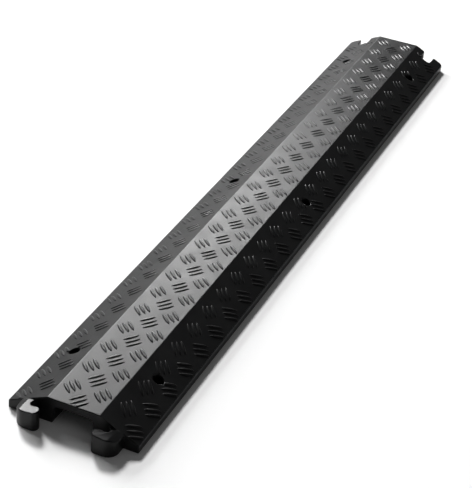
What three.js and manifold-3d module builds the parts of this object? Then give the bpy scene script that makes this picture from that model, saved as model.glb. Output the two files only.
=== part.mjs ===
// Floor cord cover: a long, low ramp moulded in one piece. It drops over a cord that lies on the floor.
// Two hooks at its near end fit two sockets at the far end of the next cover.
// Millimetres. +X runs across the cover, +Y along it towards the socket end, +Z up.
// The origin lies on the floor under the middle of the whole length, hooks included.
import * as THREE from 'three';
import { mergeVertices } from 'three/addons/utils/BufferGeometryUtils.js';
import Module from 'manifold-3d';

// Section of the cover
const BODY_LENGTH = 1000;
const BODY_WIDTH = 145;
const TOP_WIDTH = 58;
const BODY_HEIGHT = 30;
const LIP_HEIGHT = 9.5;
const LIP_EDGE_RADIUS = 1.5;
const RIDGE_RADIUS = 3;
const FAR_CORNER_RADIUS = 6;

// Cord channel under the flat top, open to the floor and at both ends
const CHANNEL_WIDTH = 46;
const CHANNEL_SKIN = 9;
const CHANNEL_WALL_LEAN = 2;
const CHANNEL_CORNER_RADIUS = 4;

// Hooks at the near end: a stem runs on from each ramp, and its head turns in towards the channel.
// The head's top falls a little outward, less steeply than the ramp.
const HOOK_REACH = 21;
const HOOK_STEM_WIDTH = 12.5;
const HOOK_OVERHANG = 14;
const HOOK_MOUTH = 10;
const HOOK_BACK_RISE = 1.5;
const HOOK_TIP_RADIUS = 5.5;
const HOOK_SHOULDER_RADIUS = 12.5;
const HOOK_TOP_FALL = Math.tan(THREE.MathUtils.degToRad(7));

// Sockets at the far end, each the size of a hook with room round it
const SOCKET_CLEARANCE = 1;
const SOCKET_HEADROOM = 0.5;
const SOCKET_ROOF = 1.8;
const SOCKET_WALL = 5.5;
const NOTCH_CORNER_RADIUS = 5;
const NOTCH_MOUTH_RADIUS = 3;

// Screw holes through the ramps: a round recess for the screw's head above a smaller shank hole
const SCREW_RECESS_DIAMETER = 12;
const SCREW_SHANK_DIAMETER = 6;
const SCREW_SEAT_HEIGHT = 5;
const SCREW_EDGE_DISTANCE = 24.5;
const SCREW_NEAR_DISTANCE = 90;
const SCREW_FAR_DISTANCE = 93;
const SCREW_ROWS = 3;

// Drawing values
const ARC_STEP = THREE.MathUtils.degToRad(15);
const CIRCLE_SIDES = 32;
const CUT_OVERRUN = 5;

// Places worked out from the sizes above
const HALF_WIDTH = BODY_WIDTH / 2;
const HALF_TOP = TOP_WIDTH / 2;
const RAMP_SLOPE = (BODY_HEIGHT - LIP_HEIGHT) / (HALF_WIDTH - HALF_TOP);
const NEAR_Y = -(BODY_LENGTH - HOOK_REACH) / 2;
const FAR_Y = NEAR_Y + BODY_LENGTH;
const CHANNEL_HEIGHT = BODY_HEIGHT - CHANNEL_SKIN;
const HOOK_TIP_X = CHANNEL_WIDTH / 2 + SOCKET_WALL + SOCKET_CLEARANCE;
const STEM_INNER_X = HOOK_TIP_X + HOOK_OVERHANG;
const STEM_OUTER_X = STEM_INNER_X + HOOK_STEM_WIDTH;
const NOTCH_INNER_X = STEM_INNER_X - SOCKET_CLEARANCE;
const NOTCH_OUTER_X = STEM_OUTER_X + SOCKET_CLEARANCE;
const NOTCH_END_Y = FAR_Y - HOOK_REACH - SOCKET_CLEARANCE;

const RUBBER = new THREE.MeshStandardMaterial({ color: 0x1d1e20, roughness: 0.5, metalness: 0 });

const wasm = await Module();
wasm.setup();

// Height of the cover's upper face at a distance x from its middle line.
function rampHeight(x) {
  return BODY_HEIGHT - Math.max(0, Math.abs(x) - HALF_TOP) * RAMP_SLOPE;
}

// Height of a socket's ceiling at a distance x from the middle line. Its roof is thinnest beside the notch.
function socketTop(x) {
  return rampHeight(NOTCH_INNER_X) - SOCKET_ROOF + (NOTCH_INNER_X - Math.abs(x)) * HOOK_TOP_FALL;
}

// Outline through the given corners, where a corner { x, y, radius } is rounded with an arc.
// An arc takes at most half of a side that it shares with another arc, so two arcs can meet as a half circle.
function roundedOutline(corners) {
  const points = [];
  corners.forEach((corner, index) => {
    const here = new THREE.Vector2(corner.x, corner.y);
    const before = corners[(index + corners.length - 1) % corners.length];
    const after = corners[(index + 1) % corners.length];
    const back = new THREE.Vector2(before.x, before.y).sub(here);
    const ahead = new THREE.Vector2(after.x, after.y).sub(here);
    const halfAngle = Math.acos(back.dot(ahead) / (back.length() * ahead.length())) / 2;
    const backRoom = back.length() / (before.radius ? 2 : 1);
    const aheadRoom = ahead.length() / (after.radius ? 2 : 1);
    const setback = Math.min((corner.radius ?? 0) / Math.tan(halfAngle), backRoom, aheadRoom);
    if (setback === 0) {
      points.push(here);
      return;
    }
    const radius = setback * Math.tan(halfAngle);
    const start = here.clone().addScaledVector(back.normalize(), setback);
    const end = here.clone().addScaledVector(ahead.normalize(), setback);
    const inward = back.add(ahead).normalize();
    const centre = here.clone().addScaledVector(inward, radius / Math.sin(halfAngle));
    const startAngle = start.clone().sub(centre).angle();
    const turn = wrapAngle(end.clone().sub(centre).angle() - startAngle);
    const steps = Math.ceil(Math.abs(turn) / ARC_STEP);
    for (let step = 0; step <= steps; step += 1) {
      const angle = startAngle + (turn * step) / steps;
      points.push(new THREE.Vector2(Math.cos(angle), Math.sin(angle)).multiplyScalar(radius).add(centre));
    }
  });
  return withoutRepeats(points);
}

// Brings an angle between minus and plus half a turn.
function wrapAngle(angle) {
  return THREE.MathUtils.euclideanModulo(angle + Math.PI, 2 * Math.PI) - Math.PI;
}

// Drops each point that lies on the one before it.
function withoutRepeats(points) {
  const closest = 1e-4;
  return points.filter((point, index) => {
    const before = points[(index + points.length - 1) % points.length];
    return point.distanceTo(before) > closest;
  });
}

// Closed solid of a geometry whose faces point outward.
function solidOf(geometry) {
  const bare = geometry.clone();
  bare.deleteAttribute('normal');
  bare.deleteAttribute('uv');
  const merged = mergeVertices(bare, 1e-4);
  return new wasm.Manifold(new wasm.Mesh({
    numProp: 3,
    vertProperties: new Float32Array(merged.attributes.position.array),
    triVerts: new Uint32Array(merged.index.array),
  }));
}

// Solid of an outline drawn in X and Z, run along Y from one place to another.
function alongCover(outline, fromY, toY) {
  const geometry = new THREE.ExtrudeGeometry(new THREE.Shape(outline), {
    depth: toY - fromY,
    bevelEnabled: false,
  });
  geometry.rotateX(Math.PI / 2);
  geometry.translate(0, toY, 0);
  return solidOf(geometry);
}

// Solid of an outline drawn in X and Y, run up from one height to another.
function upright(outline, fromZ, toZ) {
  const geometry = new THREE.ExtrudeGeometry(new THREE.Shape(outline), {
    depth: toZ - fromZ,
    bevelEnabled: false,
  });
  geometry.translate(0, 0, fromZ);
  return solidOf(geometry);
}

// The same corners on the other side of the middle line, in the order that closes the outline.
function mirrored(corners) {
  return corners.map((corner) => ({ ...corner, x: -corner.x })).reverse();
}

// Section of the two ramps and the flat top, without the channel.
function rampSection() {
  const right = [
    { x: HALF_WIDTH, y: 0 },
    { x: HALF_WIDTH, y: LIP_HEIGHT, radius: LIP_EDGE_RADIUS },
    { x: HALF_TOP, y: BODY_HEIGHT, radius: RIDGE_RADIUS },
  ];
  return roundedOutline([...right, ...mirrored(right)]);
}

// Section of the channel, open below, with walls that lean in a little as they rise.
function channelSection() {
  const floorX = CHANNEL_WIDTH / 2;
  const ceilingX = floorX - CHANNEL_WALL_LEAN;
  const leanBelow = (CHANNEL_WALL_LEAN * CUT_OVERRUN) / CHANNEL_HEIGHT;
  const right = [
    { x: floorX + leanBelow, y: -CUT_OVERRUN },
    { x: ceilingX, y: CHANNEL_HEIGHT, radius: CHANNEL_CORNER_RADIUS },
  ];
  return roundedOutline([...right, ...mirrored(right)]);
}

// Outline of the whole cover seen from above: the hooks, the long sides, the far corners and the notches.
// The back of a hook's head slants, so that the mouth is narrower at the tip than at the stem.
function planOutline() {
  const hookFrontY = NEAR_Y - HOOK_REACH;
  const right = [
    { x: STEM_INNER_X, y: NEAR_Y, radius: HOOK_MOUTH / 2 },
    { x: STEM_INNER_X, y: NEAR_Y - HOOK_MOUTH, radius: HOOK_MOUTH / 2 },
    { x: HOOK_TIP_X, y: NEAR_Y - HOOK_MOUTH + HOOK_BACK_RISE, radius: HOOK_TIP_RADIUS },
    { x: HOOK_TIP_X, y: hookFrontY, radius: HOOK_TIP_RADIUS },
    { x: STEM_OUTER_X, y: hookFrontY, radius: HOOK_SHOULDER_RADIUS },
    { x: STEM_OUTER_X, y: NEAR_Y },
    { x: HALF_WIDTH, y: NEAR_Y },
    { x: HALF_WIDTH, y: FAR_Y, radius: FAR_CORNER_RADIUS },
    { x: NOTCH_OUTER_X, y: FAR_Y, radius: NOTCH_MOUTH_RADIUS },
    { x: NOTCH_OUTER_X, y: NOTCH_END_Y, radius: NOTCH_CORNER_RADIUS },
    { x: NOTCH_INNER_X, y: NOTCH_END_Y, radius: NOTCH_CORNER_RADIUS },
    { x: NOTCH_INNER_X, y: FAR_Y, radius: NOTCH_MOUTH_RADIUS },
  ];
  return roundedOutline([...right, ...mirrored(right)]);
}

// Line across the cover along both sockets' ceilings, lowered by a given drop.
function ceilingLine(drop) {
  const edge = socketTop(HALF_WIDTH) - drop;
  return [
    new THREE.Vector2(-HALF_WIDTH, edge),
    new THREE.Vector2(0, socketTop(0) - drop),
    new THREE.Vector2(HALF_WIDTH, edge),
  ];
}

// Everything over both hooks' heads, down to the tops that fit under the sockets' ceilings.
function aboveHooks() {
  const outline = [
    ...ceilingLine(SOCKET_HEADROOM),
    new THREE.Vector2(HALF_WIDTH, BODY_HEIGHT + CUT_OVERRUN),
    new THREE.Vector2(-HALF_WIDTH, BODY_HEIGHT + CUT_OVERRUN),
  ];
  return alongCover(outline, NEAR_Y - HOOK_REACH - CUT_OVERRUN, NEAR_Y);
}

// Everything under the sockets' ceilings at the far end.
function belowCeilings() {
  const outline = [
    ...ceilingLine(0),
    new THREE.Vector2(HALF_WIDTH, -CUT_OVERRUN),
    new THREE.Vector2(-HALF_WIDTH, -CUT_OVERRUN),
  ];
  return alongCover(outline, NOTCH_END_Y - CUT_OVERRUN, FAR_Y + CUT_OVERRUN);
}

// Pocket for a hook's head, open below and into the notch, on the right (side 1) or the left (side -1).
function headPocket(side) {
  const tipX = HOOK_TIP_X - SOCKET_CLEARANCE;
  const tipRadius = HOOK_TIP_RADIUS + SOCKET_CLEARANCE;
  const mouthY = FAR_Y - HOOK_MOUTH + SOCKET_CLEARANCE;
  const right = [
    { x: STEM_INNER_X, y: NOTCH_END_Y },
    { x: STEM_INNER_X, y: mouthY },
    { x: tipX, y: mouthY + HOOK_BACK_RISE, radius: tipRadius },
    { x: tipX, y: NOTCH_END_Y, radius: tipRadius },
  ];
  const corners = side > 0 ? right : mirrored(right);
  const column = upright(roundedOutline(corners), -CUT_OVERRUN, BODY_HEIGHT + CUT_OVERRUN);
  return column.intersect(belowCeilings());
}

// Upright screw hole: the recess for the head above the seat, the shank hole below it.
function screwHole(x, y) {
  const recessRadius = SCREW_RECESS_DIAMETER / 2;
  const shankRadius = SCREW_SHANK_DIAMETER / 2;
  const profile = [
    new THREE.Vector2(0, -CUT_OVERRUN),
    new THREE.Vector2(shankRadius, -CUT_OVERRUN),
    new THREE.Vector2(shankRadius, SCREW_SEAT_HEIGHT),
    new THREE.Vector2(recessRadius, SCREW_SEAT_HEIGHT),
    new THREE.Vector2(recessRadius, BODY_HEIGHT + CUT_OVERRUN),
    new THREE.Vector2(0, BODY_HEIGHT + CUT_OVERRUN),
  ];
  const geometry = new THREE.LatheGeometry(profile, CIRCLE_SIDES);
  geometry.rotateX(Math.PI / 2);
  geometry.translate(x, y, 0);
  return solidOf(geometry);
}

// Places of the screw holes: rows evenly spaced along the cover, one hole in each ramp.
function screwPlaces() {
  const x = HALF_WIDTH - SCREW_EDGE_DISTANCE;
  const spacing = (BODY_LENGTH - SCREW_NEAR_DISTANCE - SCREW_FAR_DISTANCE) / (SCREW_ROWS - 1);
  const places = [];
  for (let row = 0; row < SCREW_ROWS; row += 1) {
    const y = NEAR_Y + SCREW_NEAR_DISTANCE + row * spacing;
    places.push([-x, y], [x, y]);
  }
  return places;
}

// The whole cover as one moulded piece.
function cordCover() {
  let cover = alongCover(rampSection(), NEAR_Y - HOOK_REACH - CUT_OVERRUN, FAR_Y + CUT_OVERRUN);
  cover = cover.intersect(upright(planOutline(), -CUT_OVERRUN, BODY_HEIGHT + CUT_OVERRUN));
  cover = cover.subtract(aboveHooks());
  cover = cover.subtract(alongCover(channelSection(), NEAR_Y - CUT_OVERRUN, FAR_Y + CUT_OVERRUN));
  cover = cover.subtract(headPocket(1));
  cover = cover.subtract(headPocket(-1));
  for (const [x, y] of screwPlaces()) {
    cover = cover.subtract(screwHole(x, y));
  }
  return cover;
}

// Geometry of a solid.
function geometryOf(solid) {
  const mesh = solid.getMesh();
  const geometry = new THREE.BufferGeometry();
  geometry.setAttribute('position', new THREE.BufferAttribute(new Float32Array(mesh.vertProperties), 3));
  geometry.setIndex(new THREE.BufferAttribute(new Uint32Array(mesh.triVerts), 1));
  geometry.computeVertexNormals();
  return geometry;
}

const cover = new THREE.Mesh(geometryOf(cordCover()), RUBBER);
cover.name = 'cord_cover';

const group = new THREE.Group();
group.name = 'floor_cord_cover';
group.add(cover);

export default group;
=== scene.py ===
"""Floor cord cover: the looks of one moulded rubber ramp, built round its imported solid.

The cover runs along Y with its hooks at the low end. Lengths are metres, and +Z is up.
"""

import logging
import math
from dataclasses import dataclass, field
from enum import Enum

import bmesh
import bpy
import numpy as np
from mathutils import Matrix, Vector


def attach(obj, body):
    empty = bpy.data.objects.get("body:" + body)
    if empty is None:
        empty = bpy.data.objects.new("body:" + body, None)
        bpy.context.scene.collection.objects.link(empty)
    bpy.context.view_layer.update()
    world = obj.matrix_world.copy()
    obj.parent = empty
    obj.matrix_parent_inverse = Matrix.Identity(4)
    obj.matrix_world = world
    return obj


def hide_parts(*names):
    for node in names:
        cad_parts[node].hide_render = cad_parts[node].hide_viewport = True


LOG = logging.getLogger("cord_cover")

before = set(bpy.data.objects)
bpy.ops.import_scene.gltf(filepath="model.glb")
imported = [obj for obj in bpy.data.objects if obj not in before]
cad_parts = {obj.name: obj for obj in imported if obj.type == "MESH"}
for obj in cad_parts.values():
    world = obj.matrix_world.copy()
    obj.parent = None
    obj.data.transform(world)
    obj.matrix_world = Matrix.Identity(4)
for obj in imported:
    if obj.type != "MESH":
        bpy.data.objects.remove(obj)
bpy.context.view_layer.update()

NODE = "cord_cover"
BODY = "root"
MM = 0.001


class Face(Enum):
    """A face of the cover that carries tread, by the sign of X that it lies on."""

    LEFT_RAMP = -1
    FLAT_TOP = 0
    RIGHT_RAMP = 1


@dataclass(frozen=True)
class CoverSection:
    """The section of the cover, as the solid has it, and where it starts and ends along Y."""

    half_top: float = 29 * MM
    half_width: float = 72.5 * MM
    height: float = 30 * MM
    lip_height: float = 9.5 * MM
    near_y: float = -489.5 * MM
    length: float = 1000 * MM

    @property
    def slope(self) -> float:
        """Fall of a ramp for each metre outward, from the top's edge to the lip."""
        return (self.height - self.lip_height) / (self.half_width - self.half_top)

    def surface_height(self, x: np.ndarray) -> np.ndarray:
        """Height of the upper face over x.

        The flat top's height, less the ramp's slope times how far x lies past the top's edge.

        Args:
            x: Distances across the cover, from its middle line.

        Returns:
            One height for each distance.
        """
        return self.height - np.maximum(0.0, np.abs(x) - self.half_top) * self.slope

    def rise(self, face: Face) -> float:
        """Rise of a face for each metre along +X.

        Args:
            face: The face.

        Returns:
            Nought on the flat top, and minus or plus the slope on a ramp.
        """
        return -face.value * self.slope


@dataclass(frozen=True)
class ScrewHoles:
    """Where the screw holes pass through the ramps, and the round patch about each that stays bare.

    Rows are measured from the near end face.
    """

    x: float = 48 * MM
    rows: tuple[float, ...] = (90 * MM, 498.5 * MM, 907 * MM)
    clear_radius: float = 6.9 * MM


@dataclass(frozen=True)
class HookNotches:
    """Where the notches open the far ends of the ramps, and the strip about each that stays bare.

    The start is measured from the near end face.
    """

    x: float = 49.75 * MM
    start: float = 976.8 * MM
    clear_half_width: float = 8.6 * MM


@dataclass(frozen=True)
class TreadColumn:
    """One column of tread: a group of bars, repeated along the cover.

    Lengths are seen from above, along X and Y. The centre is the middle of the first group, with its y measured
    from the near end face. The half bar goes from a bar's middle to its end, and the step from bar to bar.
    """

    face: Face
    centre: tuple[float, float]
    half_bar: tuple[float, float]
    step: tuple[float, float]


@dataclass
class TreadBars:
    """The raised lens-shaped bars of the tread, all as one mesh.

    A bar rises above its face by the rise, and its foot lies below the face by the sink. The margin is the strip
    inside the cover's ends and sides that stays bare, and places is how many points of a bar are tried for it.
    The profile is half a bar's section, from its foot to its crest: across as a share of the half width, and up
    as a share of the height.
    """

    section: CoverSection
    holes: ScrewHoles
    notches: HookNotches
    pitch: float = 38.1 * MM
    groups: int = 26
    bars_in_group: int = 3
    half_width: float = 2.6 * MM
    rise: float = 0.88 * MM
    sink: float = 0.35 * MM
    margin: float = 1.2 * MM
    places: int = 121
    shortest: float = 0.5
    rings: int = 8
    ring_span: tuple[float, float] = (0.06, 0.94)
    width_power: float = 0.55
    height_power: int = 6
    tip_depth: float = 0.3
    profile: tuple[tuple[float, float], ...] = ((1.0, 0.0), (0.4, 0.85), (0.22, 0.98), (0.0, 1.0))
    columns: tuple[TreadColumn, ...] = (
        TreadColumn(
            Face.LEFT_RAMP,
            centre=(-61.0 * MM, 11.3 * MM),
            half_bar=(6.2 * MM, -7.0 * MM),
            step=(-3.6 * MM, -4.6 * MM),
        ),
        TreadColumn(
            Face.LEFT_RAMP,
            centre=(-43.0 * MM, 25.0 * MM),
            half_bar=(5.8 * MM, 5.4 * MM),
            step=(3.7 * MM, -5.2 * MM),
        ),
        TreadColumn(
            Face.FLAT_TOP,
            centre=(-16.0 * MM, 27.4 * MM),
            half_bar=(6.7 * MM, -6.3 * MM),
            step=(-3.4 * MM, -5.1 * MM),
        ),
        TreadColumn(
            Face.FLAT_TOP,
            centre=(1.1 * MM, 9.5 * MM),
            half_bar=(5.8 * MM, 7.6 * MM),
            step=(4.05 * MM, -4.6 * MM),
        ),
        TreadColumn(
            Face.FLAT_TOP,
            centre=(17.5 * MM, 28.6 * MM),
            half_bar=(6.7 * MM, -6.3 * MM),
            step=(-3.4 * MM, -5.1 * MM),
        ),
        TreadColumn(
            Face.RIGHT_RAMP,
            centre=(44.5 * MM, 31.0 * MM),
            half_bar=(5.8 * MM, -6.2 * MM),
            step=(-3.0 * MM, -5.3 * MM),
        ),
        TreadColumn(
            Face.RIGHT_RAMP,
            centre=(62.0 * MM, 12.0 * MM),
            half_bar=(6.8 * MM, 6.6 * MM),
            step=(4.0 * MM, -5.0 * MM),
        ),
    )

    def column_bars(self, column: TreadColumn) -> np.ndarray:
        """Middles of a column's bars, seen from above.

        Group by group along Y at the pitch, and bar by bar at the column's own step, centred on the group's
        middle.

        Args:
            column: The column.

        Returns:
            An array of x and y for each bar.
        """
        group = np.arange(self.groups)[:, None, None]
        bar = (np.arange(self.bars_in_group) - (self.bars_in_group - 1) / 2)[None, :, None]
        start = np.array(column.centre) + np.array([0.0, self.section.near_y])
        along = np.array([0.0, self.pitch])
        return (start + group * along + bar * np.array(column.step)).reshape(-1, 2)

    def kept_stretch(self, middles: np.ndarray, half_bar: np.ndarray) -> np.ndarray:
        """The part of each bar that lies on the cover, clear of the screw holes and the notches.

        A bar runs from -1 to 1. Points along it count while they are inside the ends and sides of the cover,
        outside each hole's circle and outside each notch, and the longest unbroken run of such points is kept.

        Args:
            middles: x and y of each bar's middle.
            half_bar: From a bar's middle to its end, seen from above.

        Returns:
            The first and last kept place of each bar, from -1 to 1. They are equal where nothing is left.
        """
        places = np.linspace(-1.0, 1.0, self.places)
        points = middles[:, None, :] + places[None, :, None] * half_bar
        low = self.section.near_y + self.margin
        high = self.section.near_y + self.section.length - self.margin
        clear = (points[..., 1] > low) & (points[..., 1] < high)
        clear &= np.abs(points[..., 0]) < self.section.half_width - self.margin
        for row in self.holes.rows:
            for side in (-1, 1):
                hole = np.array([side * self.holes.x, self.section.near_y + row])
                clear &= np.linalg.norm(points - hole, axis=-1) > self.holes.clear_radius
        beside_notch = np.abs(np.abs(points[..., 0]) - self.notches.x) > self.notches.clear_half_width
        clear &= beside_notch | (points[..., 1] < self.section.near_y + self.notches.start)
        run = np.zeros(clear.shape, int)
        for index in range(len(places)):
            before = run[:, index - 1] if index else 0
            run[:, index] = np.where(clear[:, index], before + 1, 0)
        last = run.argmax(axis=1)
        count = run.max(axis=1)
        first = np.maximum(last - count + 1, 0)
        return np.stack([places[first], places[last]], axis=1)

    def full_ring(self) -> np.ndarray:
        """A bar's whole section: the profile, then its mirror image without the crest.

        Returns:
            Two rows, across and up, with a number for each point of a ring.
        """
        half_ring = np.array(self.profile)
        mirrored = half_ring[-2::-1] * np.array([-1.0, 1.0])
        return np.concatenate([half_ring, mirrored]).T

    def column_mesh(self, column: TreadColumn) -> tuple[np.ndarray, int]:
        """Points of a column's bars, bar by bar: its first tip, its rings in order, and its other tip.

        With s from -1 to 1 along a bar, its half width is the full one times (1 - s squared) to the width
        power, and its height is the rise times (1 - s to the height power), plus the sink. A ring goes over the
        bar from side to side: across is the half width times the ring's first row, and up is the height times
        its second row, less the sink. The rings crowd towards the tips, by a cosine of their even places in the
        ring span, and a tip lies below the face by the tip depth times the sink.

        A bar that is cut back to less than the shortest stretch, in half bars, is left out.

        Args:
            column: The column.

        Returns:
            The points, and how many bars they make.
        """
        middles = self.column_bars(column)
        half = np.array(column.half_bar)
        stretch = self.kept_stretch(middles, half)
        keep = stretch[:, 1] - stretch[:, 0] > self.shortest
        middles, stretch = middles[keep], stretch[keep]
        rise = self.section.rise(column.face)
        along = np.array([half[0], half[1], half[0] * rise])
        normal = np.array([-rise, 0.0, 1.0]) / math.hypot(rise, 1.0)
        across = np.cross(normal, along)
        across /= np.linalg.norm(across)
        share = 0.5 - 0.5 * np.cos(np.linspace(*self.ring_span, self.rings) * math.pi)
        s = stretch[:, :1] + (stretch[:, 1:] - stretch[:, :1]) * share
        width = self.half_width * (1 - s**2) ** self.width_power
        height = self.rise * (1 - s**self.height_power) + self.sink
        side, up = self.full_ring()
        base = np.stack([middles[:, 0], middles[:, 1], self.section.surface_height(middles[:, 0])], axis=1)
        spine = base[:, None, :] + s[..., None] * along
        ring = (
            spine[:, :, None, :]
            + (width[..., None] * side)[..., None] * across
            + (height[..., None] * up - self.sink)[..., None] * normal
        )
        tips = base[:, None, :] + stretch[..., None] * along - self.tip_depth * self.sink * normal
        bars = len(middles)
        points = np.concatenate([tips[:, :1], ring.reshape(bars, -1, 3), tips[:, 1:]], axis=1)
        return points.reshape(-1, 3), bars

    def faces(self, bars: int) -> list[list[int]]:
        """Faces of the bars, for points in the order of column_mesh.

        A fan at each tip, and a quad between each two neighbouring points of each two neighbouring rings.

        Args:
            bars: How many bars there are.

        Returns:
            The corners of each face.
        """
        count = 2 * len(self.profile) - 1
        size = 2 + self.rings * count
        point = np.arange(count)
        after = (point + 1) % count
        first = 1 + np.arange(self.rings - 1)[:, None] * count
        quads = np.stack([first + point, first + count + point, first + count + after, first + after], axis=-1)
        tail = 1 + (self.rings - 1) * count
        near = np.stack([np.zeros(count, int), 1 + point, 1 + after], axis=-1)
        far = np.stack([np.full(count, size - 1), tail + after, tail + point], axis=-1)
        start = np.arange(bars)[:, None, None] * size
        fans = (start + np.concatenate([near, far])[None]).reshape(-1, 3)
        walls = (start + quads.reshape(-1, 4)[None]).reshape(-1, 4)
        return fans.tolist() + walls.tolist()

    def build(self) -> bpy.types.Mesh:
        """All the bars of all the columns as one mesh.

        Returns:
            The mesh, with its faces outward.
        """
        points: list[np.ndarray] = []
        bars = 0
        for column in self.columns:
            column_points, column_bars = self.column_mesh(column)
            points.append(column_points)
            bars += column_bars
        mesh = bpy.data.meshes.new("tread_bars")
        mesh.from_pydata(np.concatenate(points).tolist(), [], self.faces(bars))
        LOG.info("tread: %d bars", bars)
        return mesh


@dataclass
class MouldedCover:
    """The cover as moulded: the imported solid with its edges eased, and the tread on it.

    Points as near as same_point are merged, and faces that turn by less than flat_within are joined. An edge
    that turns by more than sharp_from is eased, and the shading breaks where it turns by more than crease_from.
    """

    tread: TreadBars
    same_point: float = 0.001 * MM
    flat_within: float = math.radians(0.5)
    edge_ease: float = 0.9 * MM
    edge_segments: int = 2
    sharp_from: float = math.radians(32)
    crease_from: float = math.radians(50)

    def eased_body(self) -> bmesh.types.BMesh:
        """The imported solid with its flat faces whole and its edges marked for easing.

        Returns:
            A copy of the solid. Each edge that turns by more than the sharp angle has a bevel weight of 1.
        """
        body = bmesh.new()
        body.from_mesh(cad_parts[NODE].data)
        bmesh.ops.remove_doubles(body, verts=body.verts, dist=self.same_point)
        bmesh.ops.dissolve_limit(body, angle_limit=self.flat_within, verts=body.verts, edges=body.edges)
        weight = body.edges.layers.float.new("bevel_weight_edge")
        for edge in body.edges:
            edge[weight] = float(edge.is_manifold and edge.calc_face_angle() > self.sharp_from)
        return body

    def mesh(self, finish: bpy.types.Material) -> bpy.types.Mesh:
        """The body and its tread as one mesh, in one finish.

        Args:
            finish: The material of the whole cover.

        Returns:
            The mesh, shaded smooth between its creases.
        """
        shape = self.eased_body()
        bars = self.tread.build()
        shape.from_mesh(bars)
        bpy.data.meshes.remove(bars)
        mesh = bpy.data.meshes.new("moulded_cover")
        shape.to_mesh(mesh)
        shape.free()
        mesh.materials.clear()
        mesh.materials.append(finish)
        mesh.polygons.foreach_set("material_index", np.zeros(len(mesh.polygons), np.int32))
        mesh.shade_smooth()
        mesh.set_sharp_from_angle(angle=self.crease_from)
        return mesh

    def build(self, finish: bpy.types.Material) -> bpy.types.Object:
        """Builds the cover and dresses it.

        Args:
            finish: The material of the whole cover.

        Returns:
            The cover, riding on the body.
        """
        cover = bpy.data.objects.new("moulded_cover", self.mesh(finish))
        bpy.context.scene.collection.objects.link(cover)
        ease = cover.modifiers.new("eased_edges", "BEVEL")
        ease.limit_method = "WEIGHT"
        ease.width = self.edge_ease
        ease.segments = self.edge_segments
        ease.use_clamp_overlap = False
        even = cover.modifiers.new("even_shading", "WEIGHTED_NORMAL")
        even.keep_sharp = True
        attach(cover, BODY)
        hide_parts(NODE)
        return cover


@dataclass(frozen=True)
class BlackRubber:
    """Moulded black rubber: satin, finely grained, and a little uneven in its sheen.

    Sheen is roughness. Clouds vary it and the colour, and ripple and grain are its relief. A scale is in repeats
    for each metre, and a detail in octaves.
    """

    colour: tuple[float, float, float] = (0.0040, 0.0041, 0.0043)
    colour_worn: tuple[float, float, float] = (0.0060, 0.0062, 0.0065)
    sheen_low: float = 0.33
    sheen_high: float = 0.41
    mirror_level: float = 0.2
    cloud_scale: float = 38.0
    cloud_detail: float = 5.0
    cloud_span: tuple[float, float] = (0.3, 0.7)
    ripple_scale: float = 120.0
    ripple_detail: float = 2.0
    ripple_depth: float = 0.05 * MM
    grain_scale: float = 1500.0
    grain_detail: float = 3.0
    grain_depth: float = 0.03 * MM

    def build(self) -> bpy.types.Material:
        """Makes the material.

        Returns:
            The material, with its patterns in Object coordinates.
        """
        material = bpy.data.materials.new("black_rubber")
        material.use_nodes = True
        tree = material.node_tree
        tree.nodes.clear()
        output = tree.nodes.new("ShaderNodeOutputMaterial")
        shader = tree.nodes.new("ShaderNodeBsdfPrincipled")
        place = tree.nodes.new("ShaderNodeTexCoord").outputs["Object"]
        clouds = self.noise(tree, place, self.cloud_scale, self.cloud_detail)
        tone = tree.nodes.new("ShaderNodeMix")
        tone.data_type = "RGBA"
        tone.inputs["A"].default_value = (*self.colour, 1.0)
        tone.inputs["B"].default_value = (*self.colour_worn, 1.0)
        tree.links.new(clouds, tone.inputs["Factor"])
        gloss = tree.nodes.new("ShaderNodeMapRange")
        gloss.inputs["From Min"].default_value, gloss.inputs["From Max"].default_value = self.cloud_span
        gloss.inputs["To Min"].default_value = self.sheen_low
        gloss.inputs["To Max"].default_value = self.sheen_high
        tree.links.new(clouds, gloss.inputs["Value"])
        ripple_height = self.noise(tree, place, self.ripple_scale, self.ripple_detail)
        ripple = self.bump(tree, ripple_height, self.ripple_depth, None)
        grain_height = self.noise(tree, place, self.grain_scale, self.grain_detail)
        grain = self.bump(tree, grain_height, self.grain_depth, ripple)
        shader.inputs["Specular IOR Level"].default_value = self.mirror_level
        tree.links.new(tone.outputs["Result"], shader.inputs["Base Color"])
        tree.links.new(gloss.outputs["Result"], shader.inputs["Roughness"])
        tree.links.new(grain, shader.inputs["Normal"])
        tree.links.new(shader.outputs["BSDF"], output.inputs["Surface"])
        return material

    @staticmethod
    def noise(
        tree: bpy.types.NodeTree, place: bpy.types.NodeSocket, scale: float, detail: float
    ) -> bpy.types.NodeSocket:
        """Adds a noise pattern.

        Args:
            tree: The material's nodes.
            place: The coordinates it is laid out in.
            scale: Repeats for each metre.
            detail: Octaves of finer noise.

        Returns:
            The socket that gives its value, from 0 to 1.
        """
        node = tree.nodes.new("ShaderNodeTexNoise")
        node.inputs["Scale"].default_value = scale
        node.inputs["Detail"].default_value = detail
        tree.links.new(place, node.inputs["Vector"])
        return node.outputs["Fac"]

    @staticmethod
    def bump(
        tree: bpy.types.NodeTree,
        height: bpy.types.NodeSocket,
        depth: float,
        under: bpy.types.NodeSocket | None,
    ) -> bpy.types.NodeSocket:
        """Adds a bump of the surface.

        Args:
            tree: The material's nodes.
            height: The socket that gives its height, from 0 to 1.
            depth: Its full height, in metres.
            under: The bump that it lies on, if there is one.

        Returns:
            The socket that gives the bumped normal.
        """
        node = tree.nodes.new("ShaderNodeBump")
        node.inputs["Strength"].default_value = 1.0
        node.inputs["Distance"].default_value = depth
        tree.links.new(height, node.inputs["Height"])
        if under is not None:
            tree.links.new(under, node.inputs["Normal"])
        return node.outputs["Normal"]


class LightUse(Enum):
    """What a studio light is for."""

    SHADING = "even light and shadows"
    SHEEN = "reflections only"


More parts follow.
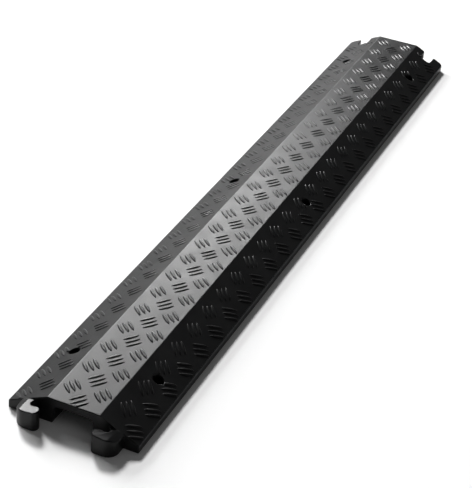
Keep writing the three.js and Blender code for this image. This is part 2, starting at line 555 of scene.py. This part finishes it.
@dataclass(frozen=True)
class Softbox:
    """One rectangular studio light, aimed at the middle of the cover.

    Angles are degrees, lengths metres, and power watts.
    """

    name: str
    azimuth: float
    elevation: float
    distance: float
    size: tuple[float, float]
    power: float
    use: LightUse

    def build(self) -> bpy.types.Object:
        """Makes the light.

        The light stands at its distance from the middle of the cover. Azimuth turns from +Y towards +X, and
        elevation is above the floor.

        Returns:
            The light.
        """
        turn, lift = math.radians(self.azimuth), math.radians(self.elevation)
        towards = Vector((math.sin(turn) * math.cos(lift), math.cos(turn) * math.cos(lift), math.sin(lift)))
        data = bpy.data.lights.new(self.name, "AREA")
        data.shape = "RECTANGLE"
        data.size, data.size_y = self.size
        data.energy = self.power
        light = bpy.data.objects.new(self.name, data)
        light.location = towards * self.distance
        light.rotation_mode = "QUATERNION"
        light.rotation_quaternion = towards.to_track_quat("Z", "Y")
        light.visible_glossy = self.use is LightUse.SHEEN
        light.visible_diffuse = self.use is LightUse.SHADING
        bpy.context.scene.collection.objects.link(light)
        return light


@dataclass(frozen=True)
class ViewCamera:
    """The camera, where the reference view was taken from. Its lens and sensor are millimetres."""

    place: tuple[float, float, float] = (0.5324, -1.4930, 0.9450)
    ahead: tuple[float, float, float] = (-0.3000, 0.7905, -0.5339)
    right: tuple[float, float, float] = (0.9121, 0.4017, 0.0824)
    lens: float = 109.75
    sensor: float = 36.0
    clip: tuple[float, float] = (0.05, 50.0)

    def build(self) -> bpy.types.Object:
        """Makes the camera and gives it to the scene.

        Returns:
            The camera.
        """
        data = bpy.data.cameras.new("view")
        data.lens = self.lens
        data.sensor_width = self.sensor
        data.clip_start, data.clip_end = self.clip
        back = -Vector(self.ahead).normalized()
        side = Vector(self.right)
        side = (side - back * side.dot(back)).normalized()
        turn = Matrix((side, back.cross(side), back)).transposed()
        camera = bpy.data.objects.new("view", data)
        camera.matrix_world = Matrix.Translation(Vector(self.place)) @ turn.to_4x4()
        bpy.context.scene.collection.objects.link(camera)
        bpy.context.scene.camera = camera
        return camera


@dataclass
class Studio:
    """The pale floor, the lights and the camera."""

    floor_half: float = 6.0
    floor_colour: tuple[float, float, float] = (0.93, 0.93, 0.93)
    floor_roughness: float = 0.9
    floor_mirror_level: float = 0.1
    room_colour: tuple[float, float, float] = (1.0, 1.0, 1.0)
    room_glow: float = 0.075
    camera: ViewCamera = field(default_factory=ViewCamera)
    lights: tuple[Softbox, ...] = (
        Softbox(
            "key_softbox",
            azimuth=-44.0,
            elevation=40.0,
            distance=12.0,
            size=(2.2, 2.2),
            power=1620.0,
            use=LightUse.SHADING,
        ),
        Softbox(
            "left_softbox",
            azimuth=-66.0,
            elevation=22.0,
            distance=6.0,
            size=(4.2, 1.9),
            power=420.0,
            use=LightUse.SHADING,
        ),
        Softbox(
            "right_softbox",
            azimuth=110.0,
            elevation=40.0,
            distance=6.0,
            size=(3.0, 3.0),
            power=12.0,
            use=LightUse.SHADING,
        ),
        Softbox(
            "side_softbox",
            azimuth=-48.0,
            elevation=35.0,
            distance=3.0,
            size=(0.4, 0.4),
            power=68.0,
            use=LightUse.SHEEN,
        ),
        Softbox(
            "sheen_softbox",
            azimuth=-29.5,
            elevation=29.5,
            distance=3.0,
            size=(0.95, 0.6),
            power=60.0,
            use=LightUse.SHEEN,
        ),
    )

    def build(self) -> None:
        """Makes the studio."""
        self.build_floor()
        self.build_room()
        for light in self.lights:
            light.build()
        self.camera.build()
        bpy.context.scene.view_settings.view_transform = "Standard"

    def build_floor(self) -> None:
        """Makes the floor: one square at height nought."""
        corners = np.array([[-1, -1, 0], [1, -1, 0], [1, 1, 0], [-1, 1, 0]], float) * self.floor_half
        mesh = bpy.data.meshes.new("studio_floor")
        mesh.from_pydata(corners.tolist(), [], [[0, 1, 2, 3]])
        paint = bpy.data.materials.new("pale_floor")
        paint.use_nodes = True
        shader = paint.node_tree.nodes["Principled BSDF"]
        shader.inputs["Base Color"].default_value = (*self.floor_colour, 1.0)
        shader.inputs["Roughness"].default_value = self.floor_roughness
        shader.inputs["Specular IOR Level"].default_value = self.floor_mirror_level
        mesh.materials.append(paint)
        floor = bpy.data.objects.new("studio_floor", mesh)
        bpy.context.scene.collection.objects.link(floor)

    def build_room(self) -> None:
        """Makes the even glow of the room."""
        world = bpy.data.worlds.new("room")
        world.use_nodes = True
        glow = world.node_tree.nodes["Background"]
        glow.inputs["Color"].default_value = (*self.room_colour, 1.0)
        glow.inputs["Strength"].default_value = self.room_glow
        bpy.context.scene.world = world


def main() -> None:
    """Builds the studio, then the cover."""
    logging.basicConfig(level=logging.INFO, format="%(message)s")
    Studio().build()
    LOG.info("studio: built")
    tread = TreadBars(CoverSection(), ScrewHoles(), HookNotches())
    cover = MouldedCover(tread).build(BlackRubber().build())
    LOG.info("%s: %d faces", cover.name, len(cover.data.polygons))


if __name__ == "__main__":
    main()
